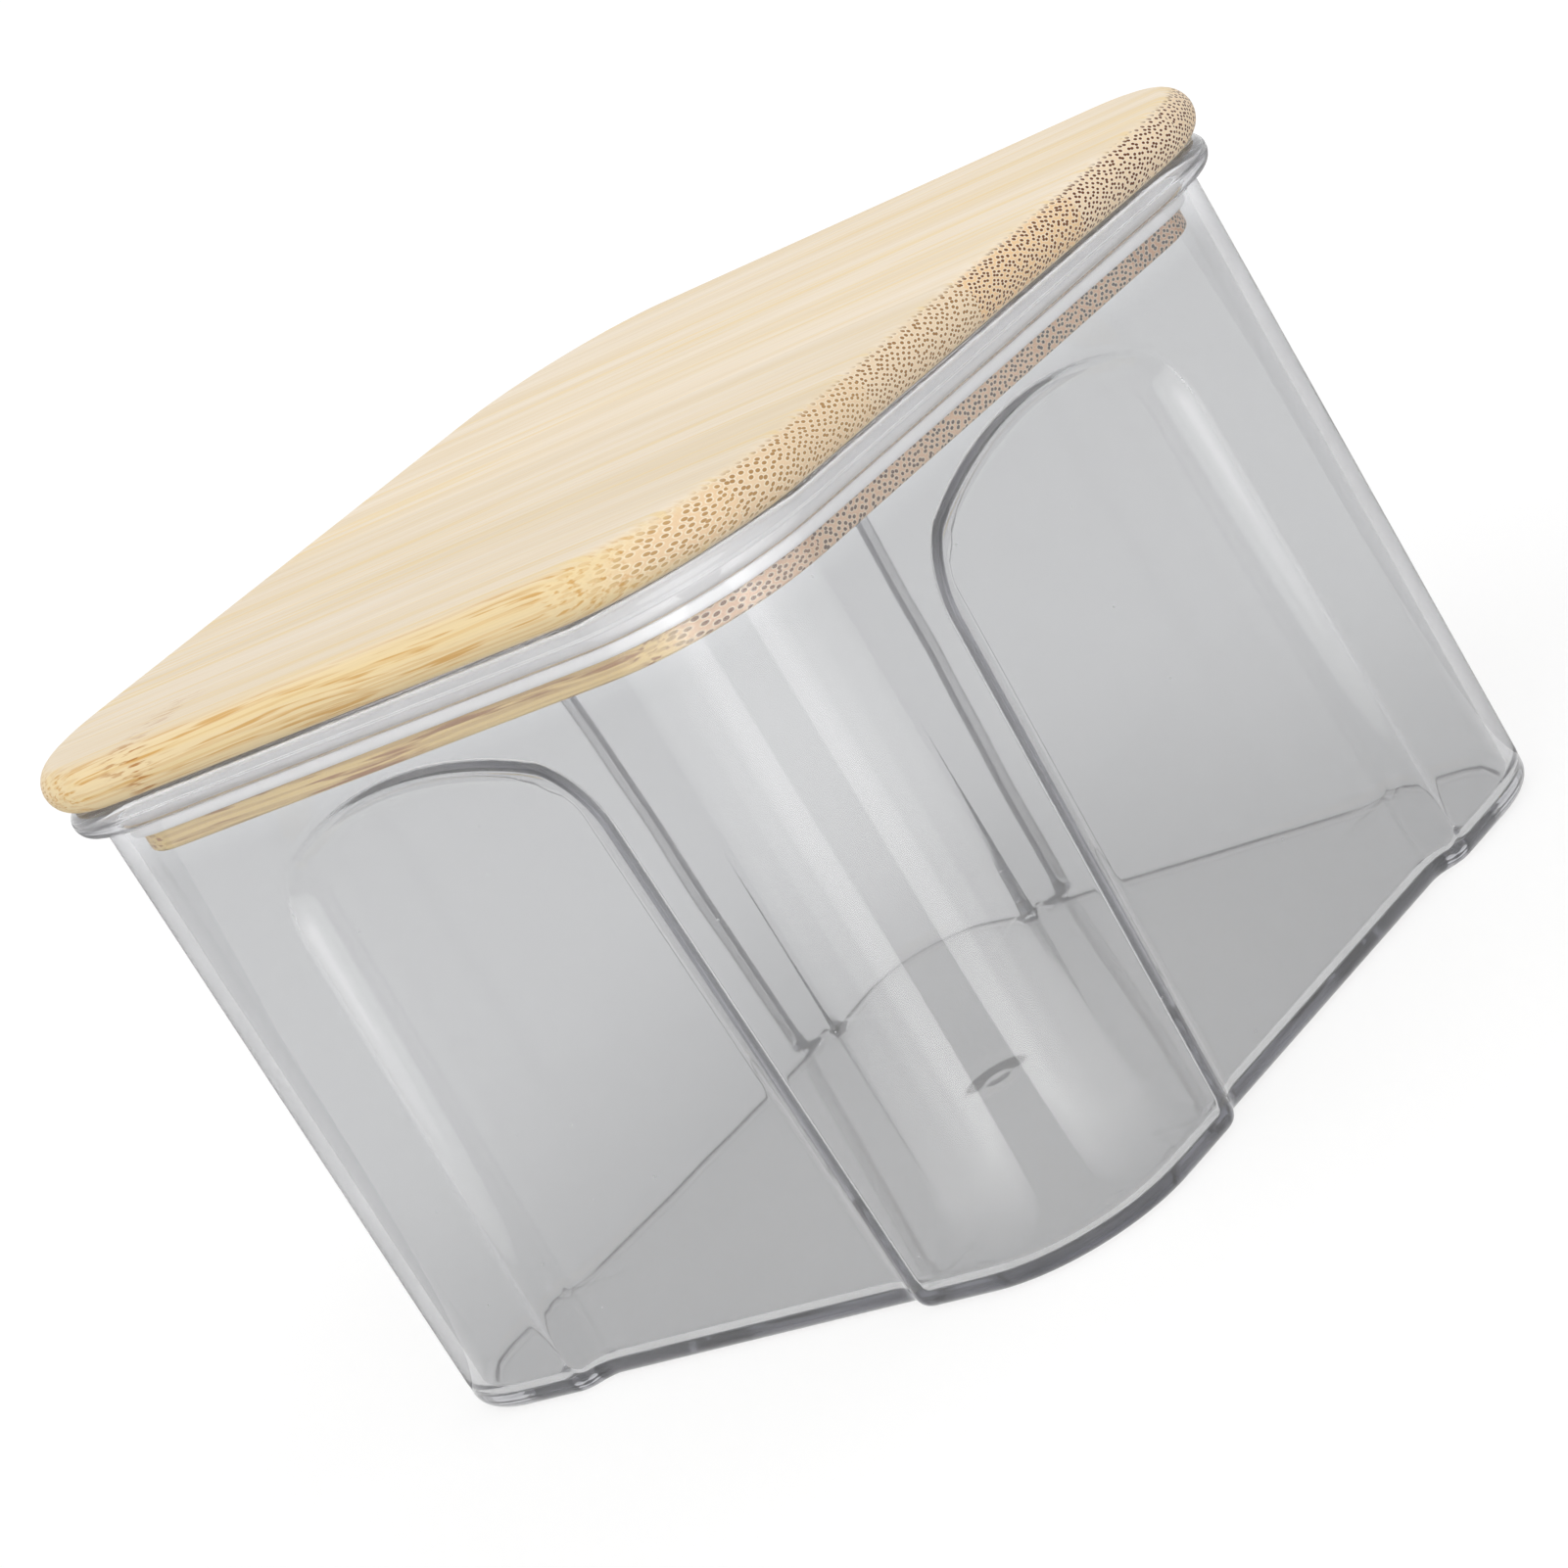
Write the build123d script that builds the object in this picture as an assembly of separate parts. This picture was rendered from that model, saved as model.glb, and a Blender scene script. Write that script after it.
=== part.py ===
from build123d import *
import os
from math import cos, radians, sin, sqrt, tan

# A square storage jar of clear moulded plastic, with a bamboo lid that lifts
# straight up out of the mouth. Millimetres, +Z up. The origin is the middle of
# the underside. The lid's bamboo runs along X, and its end grain faces +X and -X.

# Jar
jar_side = 102.6          # across the flats, just under the rim
jar_corner = 16.7         # radius of the upright corners, just under the rim
jar_height = 77.2         # underside to the top of the rim
jar_draft = 0.54          # degrees that each side leans out towards the rim
wall = 1.6
floor_thickness = 1.6
foot_bevel = 1.2          # outer edge where the sides turn under
inner_foot_bevel = 1.2

# Rim, a solid bead round the mouth, rounder below than above
rim_height = 3.3
rim_reach = 2.55          # how far the bead stands out of the wall
rim_under_round = 1.8
rim_top_round = 1.1
rim_facets = 4            # facets round each of those
mouth_bevel = 0.4

# Finger grips, one shallow arched recess pressed into each side and open at the
# foot. The step down into it bends twice, and the wall is as thick there as elsewhere.
grip_margin = 8.2         # flat wall left between a grip and the corner, at the foot
grip_lean = 2.1           # degrees that a grip's sides lean in towards its top
grip_headroom = 4.8       # wall left between the arch and the rim
grip_arch_radius = 50.0
grip_shoulder = 6.5       # radius between the arch and a side
grip_depth = 2.2
grip_slope = 48.0         # degrees, where the step is steepest
edge_facets = 3           # facets round the step's outer bend
hollow_facets = 4         # and round the one that runs out into the recess

# Moulding mark in the middle of the underside
gate_radius = 2.6
gate_depth = 0.3
gate_stub_radius = 0.7
gate_stub_height = 0.15

# Lid, a board of two plies of bamboo strips
lid_overhang = 1.15       # how far the lid stands out past the rim
lid_corner_gain = 4.5     # the lid's corner radius over the jar's
top_ply = 5.5             # its edge is a half circle in section
lid_facets = 10           # facets round that edge
plug_depth = 7.5          # how far the lower ply reaches into the mouth
plug_gap = 1.15           # between the plug and the wall
plug_corner_gain = 1.0    # the plug's corner radius over one that keeps an even gap
plug_edge = 0.4           # bevel round the underside
strip_width = 20.0
top_strips = 6
top_joint_place = -3.0    # Y of the joint nearest the middle
plug_strips = 5
plug_joint_place = 7.0

# Seal, a soft ring with two fins, seated in a groove round the plug
groove_lip = 2.3          # bamboo left under the groove
groove_height = 4.4
groove_depth = 2.2
seal_play = 0.05          # between the ring and the groove's upper and lower walls
seal_proud = 0.35         # how far the ring's band stands out of the groove
fin_gap = 0.15            # between a fin's tip and the wall, with the lid on
fin_face = 1.3            # height of the face that lies along the wall
fin_rise = 0.3            # how far that face starts above the fin's root

# Levels and plan sizes that follow from those
rim_base = jar_height - rim_height
lean_rate = tan(radians(jar_draft))
rim_side = jar_side + 2 * rim_reach
rim_corner = jar_corner + rim_reach
lid_side = rim_side + 2 * lid_overhang
lid_corner = jar_corner + lid_corner_gain
plug_bottom = jar_height - plug_depth
groove_bottom = plug_bottom + groove_lip
overlap = 1.0             # how far a cutter runs past what it cuts
near = 0.01               # for telling edges apart by their place


def side_at(level):
    return jar_side - 2 * (rim_base - level) * lean_rate


def corner_at(level):
    return jar_corner - (rim_base - level) * lean_rate


plug_side = side_at(plug_bottom) - 2 * (wall + plug_gap)
plug_corner = corner_at(plug_bottom) - wall - plug_gap + plug_corner_gain
grip_half = side_at(0) / 2 - corner_at(0) - grip_margin
grip_apex = rim_base - grip_headroom


def rounded_square(side, corner, level):
    return Plane.XY.offset(level) * RectangleRounded(side, side, corner)


def stacked(sections):
    """One solid through rounded squares, each given as level, side, corner."""
    squares = [rounded_square(side, corner, level) for level, side, corner in sections]
    return loft(squares, ruled=True)


def drafted_block(low, high, inset):
    """The jar's outline between two levels, moved in by a wall or not at all."""
    return stacked([(level, side_at(level) - 2 * inset, corner_at(level) - inset) for level in (low, high)])


def half_round_slab(low, thickness, side, corner, facets):
    """A rounded square slab whose edge runs round a half circle in flat facets."""
    radius = thickness / 2
    sections = []
    for count in range(facets + 1):
        turn = radians(180 * count / facets - 90)
        drawn_in = radius * (1 - cos(turn))
        sections.append((low + radius * (1 + sin(turn)), side - 2 * drawn_in, corner - drawn_in))
    return stacked(sections)


def grip_outline(plane, grow):
    """An arch with leaning sides, offset outwards by grow and open below the foot."""
    lean = radians(grip_lean)
    foot = -overlap
    centre = grip_apex - grip_arch_radius
    radius = grip_arch_radius + grow
    reach = grip_half + grow / cos(lean)
    middle = reach * tan(lean) + centre
    slant = 1 + tan(lean) ** 2
    spring = (middle + sqrt(middle**2 - slant * (reach**2 + centre**2 - radius**2))) / slant
    shoulder = reach - spring * tan(lean)
    width = reach - foot * tan(lean)
    outline = Polyline((-shoulder, spring), (-width, foot), (width, foot), (shoulder, spring))
    arch = ThreePointArc((shoulder, spring), (0, centre + radius), (-shoulder, spring))
    face = make_face(outline + arch)
    tips = face.vertices().sort_by(Axis.Y)[-2:]
    return plane * fillet(tips, grip_shoulder + grow)


def grip_step(inset):
    """Offset, depth and slope down the step, of the outer skin or of one set in from it.

    The outer bend's radius is the wall's thickness, so that the inner skin has a
    plain crease there. The hollow's radius follows from the depth and the slope."""
    slope = radians(grip_slope)
    hollow = grip_depth / (1 - cos(slope)) - wall
    step_width = (wall + hollow) * sin(slope)
    lines = []
    if inset < wall:
        for count in range(edge_facets):
            turn = slope * count / edge_facets
            lines.append((-wall * sin(turn), wall * (1 - cos(turn)), turn))
    for count in range(hollow_facets + 1):
        turn = slope * (1 - count / hollow_facets)
        lines.append((hollow * sin(turn) - step_width, grip_depth - hollow * (1 - cos(turn)), turn))
    return [(offset + inset * sin(turn), depth + inset * cos(turn)) for offset, depth, turn in lines]


def grip_cutter(inset):
    """Cuts one grip in the -Y side. Inset is 0 outside and the wall's thickness inside."""
    draft = radians(jar_draft)
    inward = Vector(0, cos(draft), sin(draft))
    side_foot = Vector(0, -side_at(0) / 2, 0)
    lines = grip_step(inset)
    (edge, start), (second, below) = lines[:2]
    run_out = edge + (edge - second) * overlap / (below - start)
    outlines = []
    for offset, depth in [(run_out, start - overlap)] + lines[1:]:
        plane = Plane(origin=side_foot + inward * depth, x_dir=(-1, 0, 0), z_dir=inward)
        outlines.append(grip_outline(plane, offset))
    return loft(outlines, ruled=True)


def grips(inset):
    cutter = grip_cutter(inset)
    return [Rot(0, 0, 90 * turn) * cutter for turn in range(4)]


def reach_of(edge):
    """How far out a level edge lies along X or Y."""
    box = edge.bounding_box()
    return max(abs(box.min.X), abs(box.min.Y), box.max.X, box.max.Y)


def edges_at(solid, level):
    return [edge for edge in solid.edges() if abs(edge.center().Z - level) < near]


def jar_outside():
    solid = drafted_block(0, jar_height - overlap, 0)
    for cutter in grips(0):
        solid -= cutter
    return chamfer(edges_at(solid, 0), foot_bevel)


def jar_inside():
    solid = drafted_block(floor_thickness, jar_height + overlap, wall)
    for cutter in grips(wall):
        solid -= cutter
    return chamfer(edges_at(solid, floor_thickness), inner_foot_bevel)


def gate_mark():
    dish = Cylinder(gate_radius, gate_depth, align=(Align.CENTER, Align.CENTER, Align.MIN))
    stub = Cylinder(gate_stub_radius, gate_stub_height, align=(Align.CENTER, Align.CENTER, Align.MAX))
    return dish - Pos(0, 0, gate_depth) * stub


def rim_bead():
    below = (rim_under_round, rim_base + rim_under_round, -90)
    above = (rim_top_round, jar_height - rim_top_round, 0)
    sections = []
    for radius, centre, start in (below, above):
        for count in range(rim_facets + 1):
            turn = radians(start + 90 * count / rim_facets)
            drawn_in = radius * (1 - cos(turn))
            sections.append((centre + radius * sin(turn), rim_side - 2 * drawn_in, rim_corner - drawn_in))
    return stacked(sections)


def jar_body():
    shell = jar_outside() + rim_bead() - jar_inside() - gate_mark()
    mouth_reach = side_at(jar_height) / 2 - wall + near
    mouth = [edge for edge in edges_at(shell, jar_height) if reach_of(edge) < mouth_reach]
    return chamfer(mouth, mouth_bevel)


def joints(place, strips):
    """Y of every glue joint of a ply, one strip width apart."""
    before = (strips - 1) // 2
    return [place + strip_width * (count - before) for count in range(strips - 1)]


def cut_to_strips(ply, place, strips):
    """Divides a ply along its glue joints, from -Y to +Y."""
    cuts = [-lid_side] + joints(place, strips) + [lid_side]
    pieces = []
    for low, high in zip(cuts, cuts[1:]):
        slab = Pos(0, (low + high) / 2, jar_height) * Box(2 * lid_side, high - low, lid_side)
        pieces.append(ply & slab)
    return pieces


def top_board():
    return half_round_slab(jar_height, top_ply, lid_side, lid_corner, lid_facets)


def plug_board():
    board = extrude(rounded_square(plug_side, plug_corner, plug_bottom), plug_depth)
    board = chamfer(edges_at(board, plug_bottom), plug_edge)
    ring = rounded_square(lid_side, lid_corner, groove_bottom)
    ring -= rounded_square(plug_side - 2 * groove_depth, plug_corner - groove_depth, groove_bottom)
    return board - extrude(ring, groove_height)


def seal_ring():
    low = groove_bottom + seal_play
    high = groove_bottom + groove_height - seal_play
    mouth = side_at(plug_bottom) / 2 - wall
    band = seal_proud
    tip = mouth - fin_gap - plug_side / 2
    pitch = (high - low) / 2
    profile = []
    for root in (low, low + pitch):
        profile.append((root, band))
        profile.append((root + fin_rise, tip))
        profile.append((root + fin_rise + fin_face, tip))
    profile.append((high, band))
    sections = [(level, plug_side + 2 * out, plug_corner + out) for level, out in profile]
    hole = rounded_square(plug_side - 2 * groove_depth, plug_corner - groove_depth, low - overlap)
    return stacked(sections) - extrude(hole, high - low + 2 * overlap)


def main():
    os.makedirs("parts", exist_ok=True)
    nodes = {"jar_body": jar_body(), "seal_ring": seal_ring()}
    for count, strip in enumerate(cut_to_strips(top_board(), top_joint_place, top_strips), 1):
        nodes[f"lid_top_strip_{count}"] = strip
    for count, strip in enumerate(cut_to_strips(plug_board(), plug_joint_place, plug_strips), 1):
        nodes[f"lid_plug_strip_{count}"] = strip
    for name, shape in nodes.items():
        export_step(shape, f"parts/{name}.step")


main()
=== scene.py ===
from math import cos, radians, sin, sqrt, tan

import bmesh
import bpy
from mathutils import Matrix, Vector


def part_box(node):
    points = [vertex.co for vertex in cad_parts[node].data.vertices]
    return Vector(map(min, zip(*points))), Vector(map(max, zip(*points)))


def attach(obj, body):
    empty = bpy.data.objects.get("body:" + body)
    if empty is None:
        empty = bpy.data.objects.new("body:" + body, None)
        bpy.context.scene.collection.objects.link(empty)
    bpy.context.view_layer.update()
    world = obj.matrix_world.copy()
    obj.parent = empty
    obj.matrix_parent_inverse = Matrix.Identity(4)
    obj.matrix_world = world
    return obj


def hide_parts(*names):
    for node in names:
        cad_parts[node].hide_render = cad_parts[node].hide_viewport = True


# A square clear jar with a bamboo lid that lifts off. Sizes in the dictionaries are in
# millimetres or degrees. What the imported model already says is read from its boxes.

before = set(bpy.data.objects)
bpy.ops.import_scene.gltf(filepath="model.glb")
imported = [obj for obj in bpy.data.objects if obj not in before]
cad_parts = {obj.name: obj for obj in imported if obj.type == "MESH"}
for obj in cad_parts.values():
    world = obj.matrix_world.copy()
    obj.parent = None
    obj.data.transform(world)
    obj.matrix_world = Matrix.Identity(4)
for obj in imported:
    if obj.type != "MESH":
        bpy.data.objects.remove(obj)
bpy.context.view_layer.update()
scene = bpy.context.scene
mm = 0.001
topStrips = [f"lid_top_strip_{count}" for count in range(1, 7)]
plugStrips = [f"lid_plug_strip_{count}" for count in range(1, 6)]
print("frame loaded:", len(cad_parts), "nodes")


# camera

cameraView = {
    "azimuth": 45.34,  # round from the front, towards +X
    "elevation": 12.21,
    "roll": -31.3,  # the photo was turned
    "distance": 559.1,
    "aim": (-2.27, -2.29, 40.44),
    "fieldOfView": 16.7,
    "sensor": 36.0,
}


def placeCamera():
    view = cameraView
    azimuth, elevation, roll = (radians(view[key]) for key in ("azimuth", "elevation", "roll"))
    back = Vector((sin(azimuth) * cos(elevation), -cos(azimuth) * cos(elevation), sin(elevation)))
    levelRight = Vector((cos(azimuth), sin(azimuth), 0))
    levelUp = back.cross(levelRight)
    right = levelRight * cos(roll) + levelUp * sin(roll)
    up = levelUp * cos(roll) - levelRight * sin(roll)
    data = bpy.data.cameras.new("photoCamera")
    data.sensor_width = view["sensor"]
    data.lens = view["sensor"] / 2 / tan(radians(view["fieldOfView"]) / 2)
    data.clip_start = 0.01
    data.clip_end = 100
    camera = bpy.data.objects.new("photoCamera", data)
    place = Vector(view["aim"]) * mm + back * view["distance"] * mm
    camera.matrix_world = Matrix.Translation(place) @ Matrix((right, up, back)).transposed().to_4x4()
    scene.collection.objects.link(camera)
    scene.camera = camera


placeCamera()
print("camera placed")


# node helpers, used by the materials and by the geometry trees

def feed(tree, socket, value):
    if isinstance(value, bpy.types.NodeSocket):
        tree.links.new(value, socket)
    else:
        socket.default_value = value


def addNode(tree, kind, inputs=None, **settings):
    node = tree.nodes.new(kind)
    for name, value in settings.items():
        setattr(node, name, value)
    for key, value in (inputs or {}).items():
        feed(tree, node.inputs[key], value)
    return node


def calc(tree, operation, *values):
    node = addNode(tree, "ShaderNodeMath", dict(enumerate(values)), operation=operation)
    return node.outputs[0]


def total(tree, first, *others):
    for value in others:
        first = calc(tree, "ADD", first, value)
    return first


def vectorCalc(tree, operation, *values):
    node = addNode(tree, "ShaderNodeVectorMath", dict(enumerate(values)), operation=operation)
    return node.outputs[0]


def remap(tree, value, low, high, toLow=0.0, toHigh=1.0, smooth=True):
    spans = {"From Min": low, "From Max": high, "To Min": toLow, "To Max": toHigh, "Value": value}
    kind = "SMOOTHSTEP" if smooth else "LINEAR"
    return addNode(tree, "ShaderNodeMapRange", spans, interpolation_type=kind).outputs["Result"]


def noise(tree, place, scale=1.0, detail=2.0, roughness=0.5):
    inputs = {"Vector": place, "Scale": scale, "Detail": detail, "Roughness": roughness}
    return addNode(tree, "ShaderNodeTexNoise", inputs)


def mixColour(tree, share, first, second, blend="MIX"):
    node = addNode(tree, "ShaderNodeMix", data_type="RGBA", blend_type=blend)
    for socket, value in zip((node.inputs[0], node.inputs[6], node.inputs[7]), (share, first, second)):
        feed(tree, socket, value)
    return node.outputs[2]


def srgb(red, green, blue):
    # a colour as it looks on screen, 0 to 255, to the shader's linear numbers
    shares = [channel / 255 for channel in (red, green, blue)]
    return (*[s / 12.92 if s <= 0.04045 else ((s + 0.055) / 1.055) ** 2.4 for s in shares], 1.0)


# studio

studio = {
    "ambient": 0.7,  # the world as matt surfaces see it
    "sunStrength": 1.2,
    "sunSpread": 50.0,
    "sunAzimuth": 36.0,  # round from the front, towards +X
    "sunElevation": 44.0,
    "floorGlow": 0.64,
    "floorSeen": srgb(170, 170, 170),
    "floorMatt": srgb(236, 236, 236),
    "floorSide": 16000.0,
    "floorDrop": 0.15,  # so that it and the underside aren't in one plane
    "bounces": 24,  # light runs far along inside a clear wall
}

# Cards that lie on the floor and show only as gloss. Each is laid twice, to the left and right of
# the camera's direction, round an axis that lies that far along X and back along Y. Its fan is
# directions off the camera's own, the share of the glow there and how far out the card starts.
cardGlow = 5.5
cards = {
    # streaks of light on the near corner, round that corner's own axis
    "light": {
        "axis": 34.6,
        "far": 400.0,
        "nearEdge": 0.25,  # share of the glow that is left at its near edge
        "fan": ((0.0, 0.6, 90.0), (14.5, 0.6, 90.0), (16.5, 0.95, 36.0), (24.0, 1.0, 31.0),
                (34.0, 0.72, 27.0), (50.0, 0.5, 24.0), (68.0, 0.4, 24.0), (76.0, 0.25, 24.0)),
    },
    # grey ones behind the jar, which dim the gloss on its outermost walls
    "grey": {
        "axis": 0.0,
        "far": 1200.0,
        "nearEdge": 1.0,
        "fan": ((95.0, 0.07, 68.0), (110.0, 0.07, 68.0), (145.0, 0.07, 68.0), (180.0, 0.07, 68.0)),
    },
    # and far out in front, which dim the gloss over the seal and the plug
    "far": {
        "axis": 0.0,
        "far": 1200.0,
        "nearEdge": 1.0,
        "fan": ((0.0, 0.07, 458.0), (40.0, 0.07, 458.0), (60.0, 0.07, 442.0), (76.0, 0.07, 427.0),
                (80.0, 0.07, 395.0), (88.0, 0.07, 440.0), (95.0, 0.07, 500.0)),
    },
}


def seenDirectly(tree):
    # 1 for the rays that show a background: to the camera, off gloss and through plastic
    path = addNode(tree, "ShaderNodeLightPath")
    seen = calc(tree, "MAXIMUM", path.outputs["Is Camera Ray"], path.outputs["Is Glossy Ray"])
    return calc(tree, "MAXIMUM", seen, path.outputs["Is Transmission Ray"])


def buildWorld():
    world = bpy.data.worlds.new("studioWhite")
    world.use_nodes = True
    tree = world.node_tree
    tree.nodes.clear()
    strength = remap(tree, seenDirectly(tree), 0.0, 1.0, studio["ambient"], 1.0, smooth=False)
    background = addNode(tree, "ShaderNodeBackground", {"Color": (1, 1, 1, 1), "Strength": strength})
    output = addNode(tree, "ShaderNodeOutputWorld")
    tree.links.new(background.outputs[0], output.inputs["Surface"])
    scene.world = world


def floorMaterial():
    material = bpy.data.materials.new("paleFloor")
    material.use_nodes = True
    tree = material.node_tree
    tree.nodes.clear()
    seen = seenDirectly(tree)
    colour = mixColour(tree, seen, studio["floorMatt"], studio["floorSeen"])
    matt = addNode(tree, "ShaderNodeBsdfDiffuse", {"Color": colour})
    strength = calc(tree, "MULTIPLY", seen, studio["floorGlow"])
    glow = addNode(tree, "ShaderNodeEmission", {"Color": (1, 1, 1, 1), "Strength": strength})
    both = addNode(tree, "ShaderNodeAddShader", {0: matt.outputs[0], 1: glow.outputs[0]})
    output = addNode(tree, "ShaderNodeOutputMaterial")
    tree.links.new(both.outputs[0], output.inputs["Surface"])
    return material


def cardMaterial():
    material = bpy.data.materials.new("cardGlow")
    material.use_nodes = True
    tree = material.node_tree
    tree.nodes.clear()
    share = addNode(tree, "ShaderNodeAttribute", attribute_name="glow").outputs["Fac"]
    strength = calc(tree, "MULTIPLY", share, cardGlow)
    glow = addNode(tree, "ShaderNodeEmission", {"Color": (1, 1, 1, 1), "Strength": strength})
    output = addNode(tree, "ShaderNodeOutputMaterial")
    tree.links.new(glow.outputs[0], output.inputs["Surface"])
    return material


def stageMesh(name, points, faces, material):
    mesh = bpy.data.meshes.new(name)
    mesh.from_pydata(points, [], faces)
    mesh.materials.append(material)
    thing = bpy.data.objects.new(name, mesh)
    scene.collection.objects.link(thing)
    return thing


def layCard(name, side, card, material):
    points, faces, glows = [], [], []
    axis = card["axis"]
    height = -studio["floorDrop"] * mm / 2
    for spread, glow, near in card["fan"]:
        turn = radians(cameraView["azimuth"] + side * spread)
        for reach, share in ((near, card["nearEdge"]), (2 * near, 1.0), (card["far"], 1.0)):
            points.append(((axis + reach * sin(turn)) * mm, -(axis + reach * cos(turn)) * mm, height))
            glows.append(glow * share)
    for start in range(0, len(points) - 3, 3):
        for first in (start, start + 1):
            faces.append((first, first + 1, first + 4, first + 3))
    thing = stageMesh(name, points, faces, material)
    thing.data.attributes.new("glow", "FLOAT", "POINT").data.foreach_set("value", glows)
    for ray in ("camera", "diffuse", "transmission", "volume_scatter", "shadow"):
        setattr(thing, f"visible_{ray}", False)


def layCards():
    material = cardMaterial()
    for name, card in cards.items():
        for hand, side in (("Left", -1), ("Right", 1)):
            layCard(name + hand, side, card, material)


def buildStudio():
    buildWorld()
    reach = studio["floorSide"] / 2 * mm
    depth = -studio["floorDrop"] * mm
    points = [(x * reach, y * reach, depth) for x, y in ((-1, -1), (1, -1), (1, 1), (-1, 1))]
    stageMesh("studioFloor", points, [(0, 1, 2, 3)], floorMaterial())
    layCards()
    sun = bpy.data.lights.new("softSun", "SUN")
    sun.energy = studio["sunStrength"]
    sun.angle = radians(studio["sunSpread"])
    lamp = bpy.data.objects.new("softSun", sun)
    azimuth, elevation = radians(studio["sunAzimuth"]), radians(studio["sunElevation"])
    towards = Vector((sin(azimuth) * cos(elevation), -cos(azimuth) * cos(elevation), sin(elevation)))
    lamp.rotation_euler = towards.to_track_quat("Z", "Y").to_euler()
    scene.collection.objects.link(lamp)
    scene.view_settings.view_transform = "Standard"
    for kind in ("max", "glossy", "transmission"):
        setattr(scene.cycles, f"{kind}_bounces", studio["bounces"])


buildStudio()
print("studio lit")


# materials

def newMaterial(name, **values):
    material = bpy.data.materials.new(name)
    material.use_nodes = True
    shader = material.node_tree.nodes["Principled BSDF"]
    for key, value in values.items():
        shader.inputs[key.replace("_", " ")].default_value = value
    return material, material.node_tree, shader


def objectPlace(tree):
    # the point on the piece, in millimetres
    place = addNode(tree, "ShaderNodeTexCoord").outputs["Object"]
    return vectorCalc(tree, "MULTIPLY", place, (1 / mm, 1 / mm, 1 / mm))


plastic = {
    "ior": 1.49,
    "roughness": 0.012,
    "density": 14.0,  # per metre, what the plastic takes off the light inside it
    "tint": (0.2, 0.21, 0.31, 1.0),
    "foot": (0.665, 0.668, 0.672, 1.0),  # colour of the skin at each level: the plastic's grey tint, with painted shade that darkens it towards the foot
    "middle": (0.762, 0.766, 0.772, 1.0),
    # lighter and bluer under the lid: painted light over the grey tint
    "rim": (0.98, 0.985, 1.0, 1.0),
    "footLevels": (-6.0, 30.0),  # levels over which one colour gives way to the next
    "litRimLevels": (67.0, 75.0),
    "clarity": 0.95,  # the rest is a faint surface haze
    "shadow": (0.96, 0.96, 0.96, 1.0),  # what a shadow through it keeps
    "cloud": 0.09,  # per millimetre, the faint cloudiness
    "cloudColour": (0.55, 0.55, 0.55, 1.0),
    "cloudLight": 0.985,  # least share of the skin's own colour in it
    "scuffRoughness": 0.03,
    "speckSpread": 0.16,  # per millimetre
    "speckSize": (0.012, 0.03),
    "speckRoughness": 0.35,
}


def clearPlastic():
    material, tree, shader = newMaterial("clearPlastic", IOR=plastic["ior"],
                                         Transmission_Weight=plastic["clarity"])
    place = objectPlace(tree)
    level = addNode(tree, "ShaderNodeSeparateXYZ", {0: place}).outputs[2]
    # painted shade towards the foot and painted light towards the rim, laid over the plastic's grey tint
    colour = mixColour(tree, remap(tree, level, *plastic["footLevels"]), plastic["foot"], plastic["middle"])
    colour = mixColour(tree, remap(tree, level, *plastic["litRimLevels"]), colour, plastic["rim"])
    cloud = noise(tree, place, plastic["cloud"], 3.0).outputs[0]
    haze = remap(tree, cloud, 0.3, 0.7, plastic["cloudLight"], 1.0)
    colour = mixColour(tree, haze, plastic["cloudColour"], colour)
    tree.links.new(colour, shader.inputs["Base Color"])
    specks = addNode(tree, "ShaderNodeTexVoronoi", {"Vector": place, "Scale": plastic["speckSpread"]})
    speck = remap(tree, specks.outputs["Distance"], *plastic["speckSize"], 1.0, 0.0)
    rough = remap(tree, cloud, 0.35, 0.7, plastic["roughness"], plastic["scuffRoughness"])
    rough = calc(tree, "MAXIMUM", rough, calc(tree, "MULTIPLY", speck, plastic["speckRoughness"]))
    tree.links.new(rough, shader.inputs["Roughness"])
    # the lamp's light reaches what is inside
    inShadow = addNode(tree, "ShaderNodeLightPath").outputs["Is Shadow Ray"]
    through = addNode(tree, "ShaderNodeBsdfTransparent", {"Color": plastic["shadow"]}).outputs[0]
    both = addNode(tree, "ShaderNodeMixShader", {0: inShadow, 1: shader.outputs[0], 2: through})
    output = tree.nodes["Material Output"]
    tree.links.new(both.outputs[0], output.inputs["Surface"])
    body = addNode(tree, "ShaderNodeVolumeAbsorption",
                   {"Color": plastic["tint"], "Density": plastic["density"]})
    tree.links.new(body.outputs[0], output.inputs["Volume"])
    return material


silicone = {
    "colour": srgb(252, 251, 249),
    "roughness": 0.42,
    "ior": 1.41,
    "subsurface": 0.35,
    "subsurfaceDepth": 0.0015,
    "subsurfaceRadius": (1.0, 0.95, 0.9),
    "cloud": 0.25,  # per millimetre
    "cloudColour": (0.55, 0.54, 0.52, 1.0),
    "cloudLight": 0.97,  # least share of the silicone's own colour in it
    "grain": 6.0,  # grains to the millimetre
    "grainHeight": 0.03,
    "grainStrength": 0.15,
}


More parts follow.
